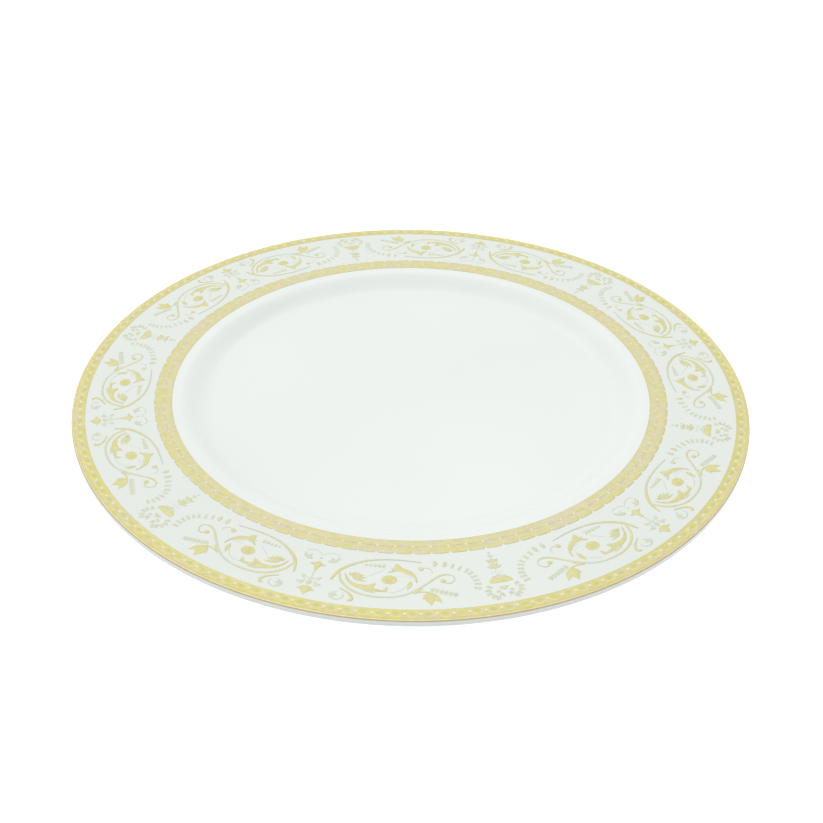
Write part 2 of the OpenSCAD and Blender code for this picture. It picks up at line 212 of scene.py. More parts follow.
class Relief:
    """Raised work in drawn coordinates, made of closed shells: each is a grid of points over a
    stroke, closed underneath. All of them together become one mesh."""

    def __init__(self):
        self.points, self.faces, self.tones = [], [], []

    def shell(self, grid, tone):
        """grid is rows x columns x (along, out, height); its outer columns are the stroke's edges."""
        rows, columns = grid.shape[:2]
        first = len(self.points)
        self.points.extend(grid.reshape(-1, 3).tolist())
        self.tones.extend(np.repeat(tone, columns).tolist())

        def at(i, j):
            return first + i * columns + j

        for i in range(rows - 1):
            for j in range(columns - 1):
                self.faces.append([at(i, j), at(i, j + 1), at(i + 1, j + 1), at(i + 1, j)])
            self.faces.append([at(i, columns - 1), at(i, 0), at(i + 1, 0), at(i + 1, columns - 1)])
        self.faces.append([at(0, j) for j in range(columns - 1, -1, -1)])
        self.faces.append([at(rows - 1, j) for j in range(columns)])

    def stroke(self, line, half, height, tone, section=dome, columns=7):
        """A raised stroke along a line, with its half width, height and tone at each point."""
        line = np.asarray(line, float)
        _, side = directions(line)
        s = np.sin(np.linspace(-1, 1, columns) * math.pi / 2)
        grid = np.zeros((len(line), columns, 3))
        grid[..., :2] = line[:, None] - side[:, None] * half[:, None, None] * s[None, :, None]
        grid[..., 2] = height[:, None] * section(s)[None] - SINK
        self.shell(grid, tone)

    def vine(self, points, widths, tone=1.0, height=0.32, steps=8, section=dome):
        """A smooth vine through points, with round ends and with its widths and tones given at
        equal steps."""
        line = smooth(points, steps)
        n = len(line)
        half = spread(widths, n) / 2
        rise = np.full(n, height)
        gone = np.linalg.norm(np.diff(line, axis=0), axis=1).cumsum()
        from_start = np.r_[0, gone]
        from_end = gone[-1] - from_start
        for away, w in ((from_start, half[0]), (from_end, half[-1])):
            inside = np.clip(away / max(w, 0.05), 0, 1)
            ease = np.sqrt(np.maximum(1 - (1 - inside) ** 2, 0.02))
            half = half * ease
            rise = rise * np.maximum(ease, 0.3)
        self.stroke(line, np.maximum(half, 0.03), rise, spread(tone, n), section)

    def leaf(self, base, tip, wide, bow=0.0, tone=1.0, height=0.3, steps=9, lobes=0):
        """A pointed leaf; bow bends it to the left of its direction, and lobes cut its edges."""
        base, tip = np.array(base, float), np.array(tip, float)
        d = tip - base
        left = np.array([-d[1], d[0]]) / np.linalg.norm(d)
        t = np.linspace(0, 1, steps + 1)
        line = base + np.outer(t, d) + np.outer(4 * t * (1 - t), left) * bow
        shape = np.sin(math.pi * t ** 0.8)
        half = wide / 2 * np.maximum(shape, 0.06)
        if lobes:
            half = half * (1 - 0.3 * (0.5 + 0.5 * np.cos(2 * math.pi * lobes * t)))
        rise = height * np.maximum(shape, 0.2) ** 0.5
        self.stroke(line, half, rise, spread(tone, len(t)), veined)

    def berry(self, place, r, tone=1.0, height=None, sectors=14):
        """A round berry, as a dome of rings."""
        height = r * 0.55 if height is None else height
        first = len(self.points)
        rings = 4
        for k in range(rings):
            away = math.cos(k * math.pi / 2 / rings)
            up = math.sin(k * math.pi / 2 / rings)
            for i in range(sectors):
                a = 2 * math.pi * i / sectors
                self.points.append([place[0] + r * away * math.cos(a),
                                    place[1] + r * away * math.sin(a),
                                    height * up - SINK])
        self.points.append([place[0], place[1], height - SINK])
        self.tones.extend([tone] * (rings * sectors + 1))
        top = first + rings * sectors
        for i in range(sectors):
            j = (i + 1) % sectors
            for k in range(rings - 1):
                low, high = first + k * sectors, first + (k + 1) * sectors
                self.faces.append([low + i, low + j, high + j, high + i])
            self.faces.append([top - sectors + i, top - sectors + j, top])
        self.faces.append([first + i for i in range(sectors - 1, -1, -1)])

    def upright(self, middle, profile, height, tone=1.0, flutes=0, columns=17):
        """A symmetrical body on a vertical line, from (out, half width) pairs from top to bottom."""
        profile = np.array(profile, float)
        at = np.linspace(0, len(profile) - 1, 4 * (len(profile) - 1) + 1)
        outs = np.interp(at, np.arange(len(profile)), profile[:, 0])
        halves = np.interp(at, np.arange(len(profile)), profile[:, 1])
        s = np.sin(np.linspace(-1, 1, columns) * math.pi / 2)
        rise = dome(s) * (1 - 0.3 * (0.5 - 0.5 * np.cos(flutes * 2 * np.arcsin(s))) * (flutes > 0))
        ends = np.sin(np.linspace(0, math.pi, len(outs))) ** 0.35
        grid = np.zeros((len(outs), columns, 3))
        grid[..., 0] = middle + halves[:, None] * s[None]
        grid[..., 1] = outs[:, None]
        grid[..., 2] = height * ends[:, None] * rise[None] - SINK
        self.shell(grid, np.full(len(outs), tone))

    def object(self, name, placings, lift=0.0):
        """One mesh with a copy of the relief at each placing, which is (turn in degrees, mirrored)."""
        drawn = np.array(self.points)
        tones = np.array(self.tones)
        points, faces, values = [], [], []
        for turn, mirrored in placings:
            r = FRIEZE_R + drawn[:, 1]
            a = drawn[:, 0] / FRIEZE_R * (-1 if mirrored else 1) + math.radians(turn)
            first = len(points) * len(drawn)
            points.append(np.c_[r * np.cos(a), r * np.sin(a), rim_z(r) + lift + drawn[:, 2]])
            values.append(tones)
            for f in self.faces:
                moved = [first + c for c in f]
                faces.append(moved[::-1] if not mirrored else moved)
        return mesh_object(name, np.concatenate(points), faces, np.concatenate(values))


# ---------------------------------------------------------------- materials


class Nodes:
    """Short calls for building a node material."""

    def __init__(self, name):
        self.mat = bpy.data.materials.new(name)
        self.mat.use_nodes = True
        self.tree = self.mat.node_tree
        self.shader = self.tree.nodes["Principled BSDF"]

    def add(self, kind, ins=None, **settings):
        """A node of a kind, with its inputs fed and its settings made."""
        node = self.tree.nodes.new(kind)
        for key, value in settings.items():
            setattr(node, key, value)
        for key, value in (ins or {}).items():
            self.feed(node, key, value)
        return node

    def feed(self, node, key, value):
        """Link a socket to a node's input, or set the input to a value."""
        if isinstance(value, bpy.types.NodeSocket):
            self.tree.links.new(value, node.inputs[key])
        else:
            node.inputs[key].default_value = value

    def noise(self, vector, scale, detail=2.0, roughness=0.5):
        """Noise with about scale features to the metre."""
        node = self.add("ShaderNodeTexNoise", {"Vector": vector, "Scale": scale, "Detail": detail,
                                               "Roughness": roughness})
        return node.outputs["Fac"]

    def place(self):
        return self.add("ShaderNodeTexCoord").outputs["Object"]

    def ramp(self, value, low, high, to_low, to_high):
        node = self.add("ShaderNodeMapRange", {"Value": value, "From Min": low, "From Max": high,
                                               "To Min": to_low, "To Max": to_high})
        return node.outputs["Result"]

    def mix(self, factor, a, b):
        """Colour a where factor is 0, and b where it is 1."""
        node = self.add("ShaderNodeMix", data_type="RGBA")
        self.feed(node, "Factor", factor)
        self.feed(node, 6, a)
        self.feed(node, 7, b)
        return node.outputs[2]

    def math(self, operation, a, b=0.0):
        node = self.add("ShaderNodeMath", {0: a, 1: b}, operation=operation)
        return node.outputs[0]

    def bump(self, height, distance, strength):
        node = self.add("ShaderNodeBump", {"Height": height, "Distance": distance,
                                           "Strength": strength})
        self.feed(self.shader, "Normal", node.outputs["Normal"])

    def attribute(self, name):
        return self.add("ShaderNodeAttribute", attribute_name=name).outputs["Fac"]

    def set(self, **values):
        """Feed inputs of the main shader. An underscore in a name stands for a space."""
        for key, value in values.items():
            self.feed(self.shader, key.replace("_", " "), value)


def rgb(red, green, blue):
    """A display colour, 0 to 255, as the linear colour that a shader takes."""
    return tuple((c / 255 / 12.92) if c < 11 else ((c / 255 + 0.055) / 1.055) ** 2.4
                 for c in (red, green, blue)) + (1.0,)


def porcelain_material():
    """White glaze with a faint green cast, painted shade over the lip (greyer, and darker towards its
    lower edge), and bare, matt clay on the line of the foot ring.
    """
    m = Nodes("glazed_porcelain")
    place = m.place()
    cloud = m.noise(place, 9.0, 3.0)
    glaze = m.mix(m.ramp(cloud, 0.3, 0.7, 0.0, 1.0), rgb(234, 239, 235), rgb(238, 242, 239))
    # a few fine pinholes
    pin = m.noise(place, 2600.0, 1.0)
    glaze = m.mix(m.ramp(pin, 0.74, 0.8, 0.0, 0.25), glaze, rgb(216, 219, 212))
    # the flux of the printed ornament dulls the glaze of the frieze a little
    parts = m.add("ShaderNodeSeparateXYZ", {0: place})
    height = parts.outputs["Z"]
    flat = m.add("ShaderNodeCombineXYZ", {"X": parts.outputs["X"], "Y": parts.outputs["Y"]})
    away = m.add("ShaderNodeVectorMath", {0: flat.outputs[0]}, operation="LENGTH").outputs["Value"]
    frieze = m.math("MULTIPLY", m.ramp(away, LOBE_TIP * MM - 0.001, LOBE_TIP * MM, 0.0, 1.0),
                    m.ramp(height, SHOULDER_Z * MM - 0.001, SHOULDER_Z * MM, 0.0, 1.0))
    glaze = m.mix(frieze, glaze, rgb(229, 234, 228))
    # painted shade: the glaze over the lip is painted greyer, and darker still towards the lip's lower
    # edge
    lip = m.ramp(away, (FLAT_R + 0.45) * MM, (FLAT_R + 0.7) * MM, 0.0, 1.0)
    # low: painted shade, darker towards the lip's lower edge
    low = m.ramp(height, (PLATE_H - RIM_T) * MM + 0.0004, (PLATE_H - LIP_R) * MM, 1.0, 0.0)
    glaze = m.mix(lip, glaze, m.mix(low, rgb(212, 217, 213), rgb(190, 194, 191)))
    # the ring that the plate stands on is left bare
    bare = m.ramp(height, 0.0007, 0.0011, 1.0, 0.0)
    grain = m.noise(place, 1400.0, 4.0, 0.65)
    clay = m.mix(grain, rgb(205, 200, 188), rgb(228, 225, 216))
    m.set(Base_Color=m.mix(bare, glaze, clay), IOR=1.52)
    gloss = m.ramp(cloud, 0.3, 0.7, 0.15, 0.19)
    m.set(Roughness=m.add("ShaderNodeMix", {0: bare, 2: gloss, 3: 0.75}, data_type="FLOAT").outputs[0])
    swell = m.noise(place, 38.0, 2.0)
    grit = m.math("MULTIPLY", m.math("MULTIPLY", grain, bare), 0.3)
    m.bump(m.math("ADD", swell, grit), 0.00012, 0.6)
    return m.mat


def gold_material(name, main, other, roughness, worn=0.35):
    """Fired gilding, mottled in colour and in shade. It has its main colour where the attribute
    tone is 1, and the other one where tone is 0 and in worn spots."""
    m = Nodes(name)
    place = m.place()
    mottle = m.noise(place, 700.0, 4.0, 0.6)
    patch = m.math("MULTIPLY", m.noise(place, 60.0, 2.0), 0.3)
    fine = m.noise(place, 5200.0, 2.0)
    colour = m.mix(m.attribute("tone"), other, main)
    thin = m.math("MULTIPLY", m.ramp(m.math("ADD", mottle, patch), 0.58, 0.84, 0.0, 1.0), worn)
    shade = m.ramp(m.noise(place, 450.0, 2.0), 0.35, 0.65, 0.965, 1.035)
    shaded = m.add("ShaderNodeVectorMath", {0: m.mix(thin, colour, other), "Scale": shade},
                   operation="SCALE")
    m.set(Base_Color=shaded.outputs["Vector"], Metallic=0.35, IOR=1.5)
    polish = m.math("ADD", mottle, m.math("MULTIPLY", fine, 0.5))
    m.set(Roughness=m.ramp(polish, 0.4, 1.1, roughness - 0.06, roughness + 0.08))
    m.bump(m.math("ADD", mottle, m.math("MULTIPLY", fine, 0.4)), 0.00003, 0.5)
    return m.mat


def enamel_material():
    """Pale raised enamel, a little uneven."""
    m = Nodes("pearl_enamel")
    place = m.place()
    mottle = m.noise(place, 700.0, 2.0)
    m.set(Base_Color=m.mix(mottle, rgb(244, 225, 195), rgb(248, 234, 212)), IOR=1.5)
    m.set(Roughness=m.ramp(mottle, 0.3, 0.7, 0.18, 0.28))
    m.bump(mottle, 0.00002, 0.5)
    return m.mat


# ---------------------------------------------------------------- placing a piece


def dress(piece, node, material):
    """The piece stands for a CAD node: it rides on the plate, takes the given material, and the node is
    hidden.
    """
    piece.data.materials.append(material)
    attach(piece, "root")
    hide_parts(node)


UNIT_TURN = 360 // UNITS
URNS = [(UNIT_TURN * i + UNIT_TURN // 2, False) for i in range(UNITS)]
JUNCTIONS = [(UNIT_TURN * i, False) for i in range(UNITS)]
HALVES = [(turn, side) for turn, _ in URNS for side in (False, True)]


def around(count, shift=0.0):
    """Placings at equal steps around the plate, shifted by a share of a step."""
    return [((i + shift) * 360 / count, False) for i in range(count)]


# ---------------------------------------------------------------- porcelain


def plate_body():
    """The fired body, turned in one piece: rim, well, underside and foot ring."""
    foot_in = FOOT_R - FOOT_W / 2
    foot_out = FOOT_R + FOOT_W / 2
    root_r = foot_out + 0.8                 # where the underside meets the foot ring
    rim_in = FLAT_R - 3                     # where the lip's lower rounding has ended
    profile = [(0, FLOOR_Z)]
    profile += [(r, FLOOR_Z) for r in (0.5, 4, 12, 24, 36, 48, 60, 68, 74, 78)]
    profile += [(FLOOR_R + (SHOULDER_R - FLOOR_R) * t, wall_z(t)) for t in np.linspace(0, 1, 33)]
    profile += [(r, rim_z(r)) for r in np.linspace(SHOULDER_R, FLAT_R, 24)[1:-1]]
    profile += arc((FLAT_R, PLATE_H - LIP_R), LIP_R, 90, 0, 10)
    profile += arc((PLATE_R - UNDER_LIP_R, PLATE_H - RIM_T + UNDER_LIP_R), UNDER_LIP_R, 0, -90, 12)
    for t in np.linspace(0, 1, 40):
        r = rim_in + (root_r - rim_in) * t
        profile.append((r, top_z(r) - RIM_T - (FLOOR_T - RIM_T) * t))
    profile += arc((foot_out - FOOT_EDGE_R, FOOT_EDGE_R), FOOT_EDGE_R, 0, -90, 8)
    profile += arc((foot_in + FOOT_EDGE_R, FOOT_EDGE_R), FOOT_EDGE_R, -90, -180, 8)
    profile += arc((foot_in - RECESS_R, BASE_Z - RECESS_R), RECESS_R, 0, 90, 8)
    profile += [(r, BASE_Z) for r in (70, 55, 40, 25, 12, 4, 0.5)]
    profile.append((0, BASE_Z))
    return lathe("plate_body", profile)


# ---------------------------------------------------------------- bands


def lip_gilding():
    """Gilding over the lip's rounding: a painted highlight as pale gold above, and a painted dark
    reflection as a bronze line along its lower edge.
    """
    centre = (FLAT_R, PLATE_H - LIP_R)
    outside = arc(centre, LIP_R + BAND_T, 88, 37, 12)
    inside = arc(centre, LIP_R - 0.05, 33, 90, 5)
    # painted highlight as pale gold over the first half of the outside, painted dark reflection as
    # bronze from there to the start of the inside
    tones = np.interp(np.arange(len(outside)), (0, 6, 8, 12), (0, 0, 1, 1))
    return lathe("lip_gilding", outside + inside, np.r_[tones, 1, np.zeros(len(inside) - 1)])


def moulded_ring(name, repeats, steps, section):
    """A closed ring with the same mouldings repeated around it. section gives, for a share of
    one repeat from -1 to 1, the rows (radius, height over the rim, tone) from inside to outside."""
    rings = []
    for i in range(repeats * steps):
        s = 2 * (i % steps) / steps - 1
        a = 2 * math.pi * i / steps / repeats
        rows = [(r, rim_z(r) + h, tone) for r, h, tone in section(s)]
        inner, outer = rows[0], rows[-1]
        rows += [(r, rim_z(r) - SINK, tone) for r, _, tone in (outer, inner)]
        rings.append([(r * math.cos(a), r * math.sin(a), z, tone) for r, z, tone in rows])
    grid = np.array(rings)
    count, width = grid.shape[:2]
    faces = []
    for i in range(count):
        j = (i + 1) % count
        for n in range(width):
            m = (n + 1) % width
            faces.append([i * width + n, i * width + m, j * width + m, j * width + n])
    flat = grid.reshape(-1, 4)
    return mesh_object(name, flat[:, :3], faces, flat[:, 3])


# the bead along an edge of a band: (share of the band's width, height over the glaze)
EDGE_BEAD = ((0, 0.03), (0.02, 0.12), (0.05, 0.15), (0.08, 0.12), (0.1, BAND_T))


def beaded(inner, outer, middle):
    """The rows of a band with a bead along both edges. Those between the beads are given as
    (share of the band's width, height, tone)."""
    near = [(t, h, 1.0) for t, h in EDGE_BEAD]
    far = [(1 - t, h, 1.0) for t, h in EDGE_BEAD[::-1]]
    return [(inner + (outer - inner) * t, h, tone) for t, h, tone in (*near, *middle, *far)]


def outer_band():
    """The plain band at the edge of the rim."""
    rows = beaded(OUTER_BAND_IN, FLAT_R, [(t, BAND_T, 1.0) for t in (0.3, 0.5, 0.7)])
    return moulded_ring("outer_band", 1, TURNS, lambda s: rows)


PEARL_ROW = 131.8 - FRIEZE_R                # the pearls of the outer band, in drawn coordinates
PEARL_TURN = 0.3                            # the first pearl's place, as a share of the pitch
ARCH_RISE = 1.5                             # from the pearls to the crown of an arch
ARCH_HALF = math.pi * FRIEZE_R / ARCHES     # half a pitch, along the drawing


def outer_arches():
    """A pale arch from pearl to pearl, and an olive tongue between the two."""
    work = Relief()
    count = 13
    t = np.linspace(-0.82, 0.82, count)
    line = np.c_[t * ARCH_HALF, PEARL_ROW + 0.1 + ARCH_RISE * np.cos(t * math.pi / 2)]
    work.stroke(line, np.full(count, 0.2), np.full(count, 0.16), np.ones(count), columns=5)
    work.leaf((-1.6, PEARL_ROW - 0.15), (1.6, PEARL_ROW - 0.15), 1.7, 0.1, 0.0, 0.12, steps=8)
    return work.object("outer_arches", around(ARCHES, PEARL_TURN + 0.5), BAND_T)


def outer_pearls():
    """A pearl at each foot of the arches."""
    work = Relief()
    work.berry((0, PEARL_ROW), 0.62, 0, 0.3, sectors=12)
    return work.object("outer_pearls", around(ARCHES, PEARL_TURN), BAND_T)


ROPE_TURNS = 3 * LOBES                      # strands of the rope on the band's inner half
ROPE_SHARES = (0.12, 0.2, 0.3, 0.4, 0.5, 0.6, 0.7, 0.8, 0.88)
SEAM_LAP = 0.1                              # how far each half of the band passes the seam


def inner_band():
    """The inner half of the inner band: a flat rope between two beads."""

    def section(s):
        rope = []
        for t in ROPE_SHARES:
            strand = 0.5 + 0.5 * math.cos(math.pi * s + 4 * math.pi * t)
            rope.append((t, 0.06 + 0.07 * strand, 0.3 + 0.7 * strand))
        return beaded(INNER_BAND_IN, SEAM_R + SEAM_LAP, rope)

    return moulded_ring("inner_band", ROPE_TURNS, 6, section)


NOTCH_R = LOBE_TIP - 1.1                    # bottom of the notches between the lobes


def inner_lobes():
    """The outer half of the inner band. Its edge is cut by a notch between each lobe and the
    next, and each lobe is raised."""
    shares = np.linspace(0, 1, 11)
    root = SEAM_R - SEAM_LAP

    def section(s):
        into = min((1 - abs(s)) / 0.36, 1)
        edge = NOTCH_R + (LOBE_TIP - NOTCH_R) * math.sqrt(1 - (1 - into) ** 2) - 0.1 * s * s
        swell = np.exp(-(((shares - 0.66) / 0.22) ** 2)) * (1 - s ** 6)
        rise = BAND_T + 0.13 * swell * np.minimum(1, 6 * (1 - shares))
        return list(zip(root + (edge - root) * shares, rise, 0.55 + 0.45 * swell))

    return moulded_ring("inner_lobes", LOBES, 20, section)


def inner_pearls():
    """Pearls on the seam, in line with the notches between the lobes."""
    work = Relief()
    work.berry((0, SEAM_R - FRIEZE_R), 0.6, 0, 0.26, sectors=12)
    return work.object("inner_pearls", around(LOBES), 0.05)


# ---------------------------------------------------------------- urns


def urn_bowls():
    """A fluted bowl, and its lid."""
    work = Relief()
    bowl = [(3.75, 4.1), (3.3, 4.2), (2.6, 3.95), (2.1, 3.65), (1.6, 3.3), (1.15, 2.7), (0.95, 2.2)]
    work.upright(0, bowl, 0.34, 0.9, flutes=9)
    work.upright(0, [(7.2, 0.2), (6.8, 0.6), (6.4, 1.15), (5.8, 1.7), (5.4, 1.6)], 0.28, 0.5)
    return work.object("urn_bowls", URNS)


def laurel(work, points, pairs, size, tone):
    """A laurel branch: pairs of leaves along a line, and one leaf at its tip."""
    line = smooth(points, 10)
    ahead, side = directions(line)
    wide = size * 0.72
    work.vine(points, 0.2, 0.0, 0.12)
    for i in range(pairs):
        k = round((i + 0.25) / pairs * (len(line) - 1))
        for s in (-1, 1):
            tip = line[k] + (ahead[k] * 0.75 + side[k] * s * 0.72) * size
            work.leaf(line[k] + side[k] * s * 0.08, tip, wide, -0.05 * s, tone, 0.2, 7)
    end, way = line[-1], ahead[-1]
    work.leaf(end - way * size * 0.4, end + way * size * 0.7, wide, 0, tone, 0.2, 7)


def urn_wreaths():
    """A laurel branch and a twig on each side, over the urn."""
    work = Relief()
    branch = [(3.9, 4.5), (5.1, 6.3), (5.1, 8.2), (3.9, 9.8), (3.0, 10.5)]
    twig = [(2.5, 7.0), (1.9, 8.2), (1.2, 9.6)]
    for s in (-1, 1):
        laurel(work, mirrored(branch, s), 5, 1.5, 0.15)
        laurel(work, mirrored(twig, s), 2, 1.25, 0.1)
    return work.object("urn_wreaths", URNS)


def urn_pendants():
    """What hangs under the bowl: its foot, two clusters of leaves and a drop."""
    work = Relief()
    # the bowl's foot and its pedestal
    work.vine([(-2.4, 0.75), (-1.3, 0.5), (0, 0.45), (1.3, 0.5), (2.4, 0.75)], [0.25, 0.35, 0.25], 0.0,
              0.2)
    work.vine([(-0.8, -0.1), (0, -0.25), (0.8, -0.1)], [0.3, 0.45, 0.3], 0.0, 0.18)
    for x in (-1.8, -0.6, 0.6, 1.8):
        work.leaf((x * 0.85, -0.7), (x * 1.05, -2.5), 0.45, 0, 0.0, 0.12, 6)
    # two clusters of leaves, and a drop
    work.leaf((0, -5.7), (0, -2.6), 2.3, 0, 0.8, 0.3)
    work.leaf((0, -8.1), (0, -5.8), 2.3, 0, 0.6, 0.28)
    work.leaf((0, -8.6), (0, -10.5), 1.5, 0, 0.0, 0.22)
    work.berry((0, -11.1), 0.45, 0.0)
    for s in (-1, 1):
        work.leaf((0.2 * s, -3.7), (2.6 * s, -4.6), 1.3, 0.2 * s, 0.5, 0.26)
        work.leaf((0.2 * s, -4.8), (1.7 * s, -5.8), 0.9, 0.1 * s, 0.3, 0.22)
        work.leaf((0.3 * s, -6.5), (2.2 * s, -7.9), 1.3, 0.25 * s, 0.4, 0.26)
        work.leaf((0.1 * s, -9.1), (1.3 * s, -9.7), 0.7, 0.05 * s, 0.0, 0.16)
    return work.object("urn_pendants", URNS)


# ---------------------------------------------------------------- garlands, sprigs, lilies


def leaf_garlands():
    """A garland of paired leaves that ends in two berries."""
    work = Relief()
    path = [(8.1, 4.75), (7.6, 2.85), (7.7, 1.05), (8.1, -0.75), (8.9, -2.55), (10.0, -3.95),
            (12.1, -5.4), (14.4, -6.7), (17.0, -7.8), (20.4, -8.35)]
    path = np.array(path)
    steps = list(zip(path, *directions(path)))
    for at, way, out in steps[:-2]:
        for s in (-1, 1):
            tip = at - way * 0.35 + out * s * 1.3
            work.leaf(at + way * 0.3 + out * s * 0.02, tip, 1.35, 0.0, 0.1, 0.2, 7)
    # a berry between two leaves at each of the last two places
    for at, way, out in steps[-2:]:
        work.berry(at, 0.95, 0.5, 0.26)
        for s in (-1, 1):
            tip = at + way * 0.9 + out * s * 1.15
            work.leaf(at - way * 0.6 + out * s * 0.5, tip, 0.7, 0.25 * s, 0.1, 0.2, 7)
    return work.object("leaf_garlands", HALVES)


def wheat_sprigs():
    """Paired grains along a straight stalk."""
    work = Relief()
    start, stop = np.array([22.9, 3.8]), np.array([14.8, 7.1])
    ahead = (stop - start) / np.linalg.norm(stop - start)
    side = np.array([-ahead[1], ahead[0]])
    work.vine([start, stop], 0.2, 0.1, 0.12)
    grains = 6
    for i in range(grains):
        root = start + (stop - start) * i / grains
        for s in (-1, 1):
            work.leaf(root + side * s * 0.05, root + ahead * 1.3 + side * s * 1.1, 1.05, -0.12 * s,
                      0.15, 0.2, 6)
    work.leaf(stop - ahead * 1.1, stop + ahead * 0.4, 1.3, 0, 0.2, 0.24, 7)
    return work.object("wheat_sprigs", HALVES)


def lily_flowers():
    """A lily of three petals on its stem, with one leaf."""
    work = Relief()
    work.leaf((23.7, 5.2), (19.7, 10.3), 2.5, 0.15, 1.0, 0.28, 14)
    work.leaf((23.8, 5.3), (25.6, 8.5), 1.7, 0.35, 1.0, 0.26, 12)
    work.leaf((23.5, 4.9), (23.0, 11.3), 3.2, 0.0, 1.0, 0.34, 14)
    work.vine([(23.3, 5.2), (25.6, 4.9), (28.3, 5.8)], [0.7, 0.5, 0.3], [0.9, 0.9, 0.5], 0.22)
    work.leaf((28.4, 5.7), (25.0, 3.4), 1.5, 0.4, 0.8, 0.26, 10)
    return work.object("lily_flowers", HALVES)


# ---------------------------------------------------------------- medallions


def scroll_vines():
    """An S-shaped vine with a berry in its curl."""
    work = Relief()
    path = [(17.9, 0.9), (17.2, 1.3), (16.0, 1.2), (14.8, 0.0), (14.7, -1.6), (16.0, -2.7),
            (18.2, -2.8), (20.5, -1.7), (23.0, 0.4), (26.3, 3.2), (28.6, 4.9), (31.0, 6.4),
            (34.2, 7.4), (37.9, 7.8), (42.0, 7.6), (45.6, 6.7), (48.8, 4.9), (51.3, 2.4),
            (52.5, 0.0), (52.8, -1.6)]
    widths = [0.7, 0.6, 0.5, 0.9, 0.95, 0.85, 0.85, 0.85, 0.9, 1.0, 0.6]
    tones = [0.9, 0.5, 0.0, 0.6, 0.6, 0.0, 0.0, 0.3, 0.5, 0.8, 0.7]
    work.vine(path, widths, tones, 0.2, steps=6)
    work.berry((18.5, 0.0), 0.95, 0.9, 0.36)
    return work.object("scroll_vines", HALVES)


def medallion_arcs():
    """The arc along the outside and the foot of a medallion."""
    work = Relief()
    path = [(54.9, 2.4), (53.9, -1.2), (52.2, -4.0), (49.2, -6.6), (45.6, -8.6), (42.0, -9.7),
            (37.4, -10.3), (33.3, -10.3), (28.8, -9.8), (25.2, -9.1)]
    widths = [0.6, 1.2, 1.3, 1.2, 1.0, 0.8, 0.7, 0.6, 0.45, 0.3]
    tones = [0.8, 1.0, 0.9, 0.6, 0.4, 0.3, 0.3, 0.15, 0.0, 0.0]
    work.vine(path, widths, tones, 0.26, steps=9)
    return work.object("medallion_arcs", HALVES)


def medallion_rosettes():
    """The flower in the middle of a medallion."""
    work = Relief()
    centre = np.array([36.1, -0.5])
    # two rows of round petals, and the eye
    for away, count, r, shift, rise in ((1.95, 11, 0.72, 0.0, 0.24), (1.1, 7, 0.62, 0.3, 0.34)):
        for i in range(count):
            a = 2 * math.pi * (i + shift) / count
            petal = centre + np.array([math.cos(a), 0.78 * math.sin(a)]) * away
            work.berry(petal, r, 1.0, rise)
    work.berry(centre, 0.75, 1.0, 0.42)
    return work.object("medallion_rosettes", HALVES)


def acanthus_leaves():
    """The large acanthus leaf: a ridged spine and five lobes."""
    work = Relief()
    spine = [(51.1, -1.8), (50.0, 0.5), (48.6, 2.1), (46.6, 3.3), (44.2, 3.8), (42.0, 3.6), (40.9, 3.2)]
    work.vine(spine, [0.35, 0.8, 1.2, 1.8, 2.4, 2.6, 2.3], [0.5, 0.8, 1, 1, 1, 1, 1], 0.32,
              section=ridged)
    work.leaf((42.6, 4.3), (39.7, 4.5), 1.5, 0.1, 1.0, 0.3)
    work.leaf((42.4, 3.2), (40.3, 1.6), 1.7, -0.2, 1.0, 0.3)
    work.leaf((44.6, 4.9), (39.8, 6.3), 1.2, 0.2, 0.4, 0.26)
    work.leaf((43.4, 4.6), (36.0, 5.3), 1.3, 0.15, 0.9, 0.28, 12)
    work.leaf((37.9, 5.2), (36.5, 2.8), 1.3, -0.3, 0.8, 0.26)
    return work.object("acanthus_leaves", HALVES)


def curled_acanthus():
    """The C-shaped acanthus leaf: a ridged spine, three lobes and three tendrils."""
    work = Relief()
    spine = [(27.1, 0.7), (27.4, -1.4), (28.4, -3.2), (29.9, -4.5), (31.9, -5.3), (34.2, -5.2),
             (36.8, -3.9)]
    work.vine(spine, [0.35, 0.8, 1.4, 1.9, 2.1, 1.3, 0.4], [0.1, 0.7, 1, 1, 1, 0.9, 0.5], 0.32,
              section=ridged)
    work.leaf((32.6, -4.9), (34.2, -8.5), 2.7, 0.2, 0.9, 0.3, 12)
    work.leaf((33.6, -5.4), (36.1, -6.3), 0.9, 0.2, 0.5, 0.24)
    work.leaf((29.1, -0.2), (30.2, 4.3), 1.7, 0.15, 0.9, 0.28, 12)
    work.vine([(28.3, -1.6), (29.7, -3.1), (32.4, -3.9)], [0.2, 0.35, 0.2], 0.0, 0.12)
    work.vine([(29.0, -1.3), (31.0, -2.4), (33.2, -2.3)], [0.2, 0.25, 0.15], 0.0, 0.1)
    work.vine([(30.4, 2.2), (32.4, 4.5), (35.6, 5.6)], [0.2, 0.35, 0.2], 0.0, 0.12)
    return work.object("curled_acanthus", HALVES)


